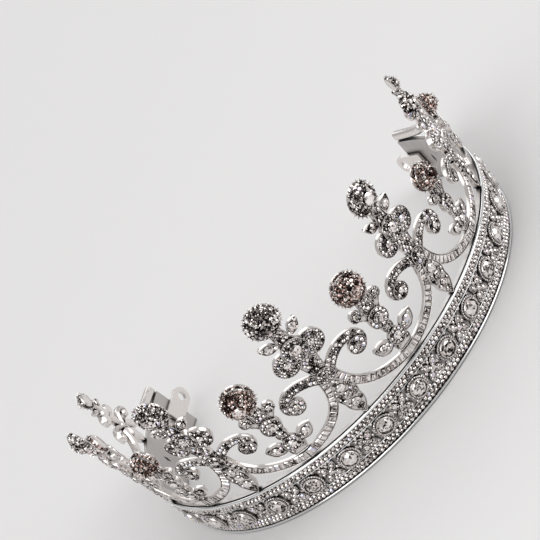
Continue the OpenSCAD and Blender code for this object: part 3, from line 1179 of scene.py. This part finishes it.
@dataclass
class Band:
    """The pierced strip, its two wires, its rows of stones and the ornaments between them.

    Args:
        shop: the shared tools.
        thickness: thickness of the strip.
        rail: radius of the edge wires.
        row_top: how far the small round stones reach in from each edge.
        big: radius of the large stones.
        wall: thickness of a collet.
        each_side: how many large stones there are on each side of the first.
    """

    shop: Workshop
    thickness: float = 1.4
    rail: float = 0.5
    row_top: float = 4.2
    big: float = 2.6
    wall: float = 0.5
    each_side: int = 10

    def __post_init__(self) -> None:
        self.ring: Ring = self.shop.ring
        self.pitch: float = MOTIF_STEP / 3
        self.middle: float = self.ring.band_height / 2

    def build(self) -> None:
        """Builds every piece of the band."""
        self.strip()
        self.wires()
        self.rows()
        self.collets()
        self.ornaments()

    def level(self, z: float) -> float:
        """Height above the floor as a height above the band's upper edge."""
        return z - self.ring.band_height

    def place(self, angle: float, z: float, out: float) -> Vector:
        """A place on the band, by its angle and its height above the floor."""
        return self.ring.point(angle, 0, self.level(z), out)

    def axes(self, angle: float, z: float) -> tuple[Vector, Vector, Vector]:
        """The directions across, up the lean and outwards at a place on the band."""
        return self.ring.axes(angle, 0, self.level(z))

    def on_circle(self, angle: float, out: float, radius: float, turn: float) -> Vector:
        """A place on a circle round a point on the band's middle line."""
        across, up, _ = self.axes(angle, self.middle)
        aim = across * math.cos(turn) + up * math.sin(turn)
        return self.place(angle, self.middle, out) + aim * radius * MM

    def strip(self) -> None:
        """The strip, with a lozenge pierced on each side of every ornament."""
        shape, half_angle = Shape(), self.ring.half_angle
        mesh, cell = shape.mesh, self.pitch / 2
        cells = round(2 * half_angle / cell)
        top, mid = self.ring.band_height, self.middle
        half_high, half_wide = 1.6, 0.7 / self.ring.radius
        long_sides = ((0, 1), (1, 2), (4, 5), (5, 6))
        first_sides, last_sides = ((6, 7), (7, 0)), ((2, 3), (3, 4))
        for c in range(cells):
            a = -half_angle + c * cell
            b, end = a + cell / 2, a + cell
            rim = [(a, 0), (b, 0), (end, 0), (end, mid), (end, top), (b, top), (a, top), (a, mid)]
            hole = [(b, mid - half_high), (b + half_wide, mid), (b, mid + half_high),
                    (b - half_wide, mid)]
            pierced = 0 < c < cells - 1
            faces = []
            for out in (0.0, -self.thickness):
                outer = [mesh.verts.new(self.place(t, z, out)) for t, z in rim]
                inner = [mesh.verts.new(self.place(t, z, out)) for t, z in hole]
                for i in range(4):
                    mesh.faces.new((outer[2 * i + 1], outer[(2 * i + 2) % 8],
                                    outer[(2 * i + 3) % 8], inner[(i + 1) % 4], inner[i]))
                if not pierced:
                    mesh.faces.new(inner)
                faces.append((outer, inner))
            (front, front_hole), (back, back_hole) = faces
            for i in range(4 if pierced else 0):
                j = (i + 1) % 4
                mesh.faces.new((front_hole[i], front_hole[j], back_hole[j], back_hole[i]))
            sides = (long_sides + (first_sides if c == 0 else ())
                     + (last_sides if c == cells - 1 else ()))
            for i, j in sides:
                mesh.faces.new((front[i], front[j], back[j], back[i]))
        bmesh.ops.remove_doubles(mesh, verts=mesh.verts, dist=1e-6)
        piece = shape.finish("band_strip")
        # The strip takes the satin silver, darkened as painted shade.
        piece.data.materials.append(self.shop.shaded_satin)
        hand_over(piece, "silver", "band_frame")

    def wire(self, name: str, z: float, radius: float, out: float, *nodes: str) -> None:
        """A round wire along the band."""
        loops = []
        for i in range(WIRE_STEPS + 1):
            a = self.ring.half_angle * (2 * i / WIRE_STEPS - 1)
            _, up, outward = self.axes(a, z)
            loops.append([self.place(a, z, out)
                          + (outward * math.cos(t) + up * math.sin(t)) * radius * MM
                          for t in round_turn(WIRE_SIDES)])
        shape = Shape()
        shape.loft(loops)
        piece = shape.finish(name, 60)
        piece.data.materials.append(self.shop.wire)
        hand_over(piece, "bright_wire", *nodes)

    def wires(self) -> None:
        """The two edge wires and the two thin wires beside the rows of stones."""
        top, edge, out = self.ring.band_height, self.rail + 0.15, self.rail + 0.12
        self.wire("upper_edge_wire", top - edge, self.rail, out, "upper_rail")
        self.wire("lower_edge_wire", edge, self.rail, out, "lower_rail")
        self.wire("upper_thread", top - self.row_top, THREAD, THREAD + 0.1)
        self.wire("lower_thread", self.row_top, THREAD, THREAD + 0.1)

    def rows(self) -> None:
        """The upper and lower double rows of small round stones, with grains between them."""
        ring, out = self.ring, 0.4
        foot = 2 * self.rail + 0.2
        small = (self.row_top - THREAD - foot) / 3.75
        for name, mirror, seed in (("upper_row", True, UPPER_SEED),
                                   ("lower_row", False, LOWER_SEED)):
            stones, grains = Seats(), Seats()
            for row in (0, 1):
                z = foot + small * (1 + 1.75 * row)
                z = ring.band_height - z if mirror else z
                pitch = (2 * small + 0.1) / ring.face(self.level(z))
                count = int((ring.half_angle - 0.02) / pitch)
                for i in range(-count, count + 1):
                    a = (i + 0.5 * row) * pitch
                    across, _, aim = self.axes(a, z)
                    stones.add(Cut.PAVE, self.place(a, z, out), aim, across,
                               (small, small, 1.2 * small), ROW_LEAST)
                    grains.add(Grain.BEAD, self.place(a + pitch / 2, z, out), aim, across,
                               (0.22, 0.22, 0.4))
            self.shop.set_stones(name + "_stones_set", stones, Tone.CLEAR, seed, name + "_stones")
            self.shop.set_grains(name + "_grains", grains)

    def collets(self) -> None:
        """The large stones, each in a tapered cup with a stepped foot and six claws."""
        rim, big = self.big + self.wall, self.big
        profile = [(rim - 0.9, 0.06), (rim + 0.5, 0.1), (rim + 0.62, 0.3), (rim + 0.6, 0.74),
                   (rim + 0.5, 0.82), (rim + 0.02, 0.84), (rim, 1.5), (rim - 0.12, 1.7),
                   (rim - 0.4, 1.7), (big - 0.1, 1.35), (big - 0.6, 0.8), (0.4, 0.5)]
        girdle, tips, claw_ring = 1.35, 1.75, big + 0.12
        cups, claws, stones = Shape(), Seats(), Seats()
        for i in range(-self.each_side, self.each_side + 1):
            a = i * self.pitch
            cups.loft([[self.on_circle(a, height, radius, t) for t in round_turn(COLLET_SIDES)]
                       for radius, height in profile])
            across, _, out = self.axes(a, self.middle)
            stones.add(Cut.BRILLIANT, self.place(a, self.middle, girdle), out, across,
                       (big,) * 3, BIG_LEAST)
            for t in round_turn(6, 0.5):
                claws.add(Grain.BEAD, self.on_circle(a, tips, claw_ring, t), out, across,
                          (0.34, 0.34, 0.5))
        self.shop.set_grains("band_collet_cups", claws, cups.finish("cups_blank"), "band_collets")
        self.shop.set_stones("band_brilliants", stones, Tone.CLEAR, BIG_SEED, "band_stones")

    def ornaments(self) -> None:
        """The four-petal ornaments, and small stones in all the room round them."""
        middle = self.level(self.middle)
        leaves, stones, grains = Shape(), Seats(), Seats()
        small, half_gap, half_high = 0.62, self.ring.radius * self.pitch / 2, 3.7
        halo, halo_stone, halo_out = self.big + self.wall + 0.32, 0.36, 0.98
        dot, dot_out = 0.85, 0.9
        cell = [(x, middle + z) for x, z in ((-half_gap, -half_high), (half_gap, -half_high),
                                             (half_gap, half_high), (-half_gap, half_high))]
        half, reach = (2.15, 1.15), 1.6
        petals = [((reach * sx, middle + reach * sz), math.radians(45) * sx * sz)
                  for sx in (-1, 1) for sz in (-1, 1)]
        outlines = [turned(oval(*half), turn, centre) for centre, turn in petals]

        def keep(p: Plane) -> bool:
            x, z = abs(p[0]), p[1] - middle
            on_halo = math.hypot(half_gap - x, z) < halo + 0.3 + 0.8 * small
            in_hole = abs(x - half_gap / 2) < 0.9 and abs(z) < 1.3
            if on_halo or in_hole or math.hypot(x, z) < 1.3:
                return False
            return all(room(p, outline) < -0.5 * small for outline in outlines)

        for i in range(-self.each_side, self.each_side):
            plate = Plate(self.shop, (i + 0.5) * self.pitch, leaves, stones, grains, FIELD_LEAST)
            for centre, turn in petals:
                plate.petal(centre, turn, half, Tray(depth=0.1, lift=0.45))
            plate.stone(Cut.BRILLIANT, (0, middle), dot, dot_out)
            plate.pave(cell, small, Tray(rim=-0.5, lift=0.1), keep)
        for i in range(-self.each_side, self.each_side + 1):
            plate = Plate(self.shop, i * self.pitch, leaves, stones, grains, HALO_LEAST)
            plate.halo((0, middle), halo, halo_stone, halo_out)
        self.shop.set_grains("band_petals", grains, leaves.finish("petals_blank"), "band_leaves")
        self.shop.set_stones("band_small_stones", stones, Tone.CLEAR, SMALL_SEED)


# ---- Studio ----


LAMP_SIDE = 1.2
# Place in metres and power in watts
LAMPS = {"key_lamp": ((-0.6, -0.8, 1.0), 10.5), "fill_lamp": ((1.15, -0.25, 0.6), 9.0),
         "back_lamp": ((0.1, 1.0, 0.9), 5.0)}


@dataclass
class Studio:
    """Plain pale floor, soft light and the camera.

    Args:
        centre_y: where the ring's centre lies, in metres.
        azimuth: how far round to the right the camera stands.
        elevation: how far above the floor it stands.
        roll: how far it is turned about its own axis.
        distance: how far away it stands, in metres.
        lens: its focal length in millimetres.
        aside: how far to the right it aims, in metres.
        height: how high it aims, in metres.
    """

    centre_y: float
    azimuth: float = math.radians(7.4)
    elevation: float = math.radians(25.3)
    roll: float = math.radians(49.1)
    distance: float = 1.95
    lens: float = 427.1
    aside: float = 0.0034
    height: float = 0.0372

    def build(self) -> None:
        """Makes the floor, the world, the lamps and the camera."""
        self.floor()
        self.world()
        for name, (place, power) in LAMPS.items():
            self.lamp(name, place, power)
        self.camera()
        bpy.context.scene.view_settings.view_transform = "Standard"

    def floor(self) -> None:
        """A wide pale floor under the band."""
        mesh = bmesh.new()
        bmesh.ops.create_circle(mesh, cap_ends=True, radius=6, segments=64)
        data = bpy.data.meshes.new("floor")
        mesh.to_mesh(data)
        mesh.free()
        material, tree, shader = new_material("pale_floor")
        feed(tree, shader, {"Base Color": (0.72, 0.71, 0.71, 1), "Roughness": 0.9})
        data.materials.append(material)
        in_scene(bpy.data.objects.new("floor", data))

    def world(self) -> None:
        """Even, pale surroundings."""
        world = bpy.data.worlds.new("surroundings")
        world.use_nodes = True
        tree = world.node_tree
        feed(tree, tree.nodes["Background"], {"Color": (0.8, 0.8, 0.8, 1), "Strength": 0.6})
        bpy.context.scene.world = world

    def lamp(self, name: str, place: Triple, power: float) -> None:
        """A square soft lamp that faces the tiara."""
        data = bpy.data.lights.new(name, "AREA")
        data.size, data.energy = LAMP_SIDE, power
        lamp = in_scene(bpy.data.objects.new(name, data))
        lamp.location = place
        lamp.rotation_mode = "QUATERNION"
        aim = Vector((0, 0, 0.04)) - Vector(place)
        lamp.rotation_quaternion = aim.to_track_quat("-Z", "Y")

    def camera(self) -> None:
        """The camera, turned about its own axis as well as round the tiara."""
        a, e = self.azimuth, self.elevation
        back = Vector((math.sin(a) * math.cos(e), -math.cos(a) * math.cos(e), math.sin(e)))
        right = Vector((math.cos(a), math.sin(a), 0))
        up = back.cross(right)
        axes = Matrix((right, up, back)).transposed() @ Matrix.Rotation(-self.roll, 3, "Z")
        data = bpy.data.cameras.new("camera")
        data.sensor_width, data.lens = 36.0, self.lens
        data.clip_start, data.clip_end = 0.01, 50
        camera = in_scene(bpy.data.objects.new("camera", data))
        target = Vector((self.aside, self.centre_y, self.height))
        camera.matrix_world = Matrix.Translation(target + back * self.distance) @ axes.to_4x4()
        bpy.context.scene.camera = camera


def dress_loops(shop: Workshop) -> None:
    """The pin loops keep their own shape and take the silver finish."""
    for node in ("end_loop_left", "end_loop_right"):
        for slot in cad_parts[node].material_slots:
            slot.material = shop.silver


# Sizes of the motifs from the middle outwards, and what starts the draws of their stones
TALL_SIZES, TALL_SEED = (1.0, 0.94, 0.77, 0.5), 20
SHORT_SIZES, SHORT_SEED = (1.0, 0.82, 0.66), 60


def place_name(i: int) -> str:
    """What a motif's place is called: "c" in the middle, then "l1", "r1" and so on."""
    return f"{'l' if i < 0 else 'r'}{abs(i)}" if i else "c"


def draw_seed(first: int, i: int) -> int:
    """The seed of a motif's stones. Its crest takes the next number."""
    return first + 4 * (i + 3)


def main() -> None:
    """Builds the tiara's surroundings, then the tiara piece by piece."""
    shop = Workshop.open()
    Studio(shop.ring.centre_y * MM).build()
    log.info("ring radius %.1f mm, band %.1f mm", shop.ring.radius, shop.ring.band_height)
    Band(shop).build()
    for i in range(-3, 4):
        motif = TallMotif(shop, place_name(i), i * MOTIF_STEP, TALL_SIZES[abs(i)])
        motif.build(draw_seed(TALL_SEED, i))
    for i in (-3, -2, -1, 1, 2, 3):
        angle = (i - math.copysign(0.5, i)) * MOTIF_STEP
        motif = ShortMotif(shop, place_name(i), angle, SHORT_SIZES[abs(i) - 1])
        motif.build(draw_seed(SHORT_SEED, i))
    dress_loops(shop)


if __name__ == "__main__":
    main()
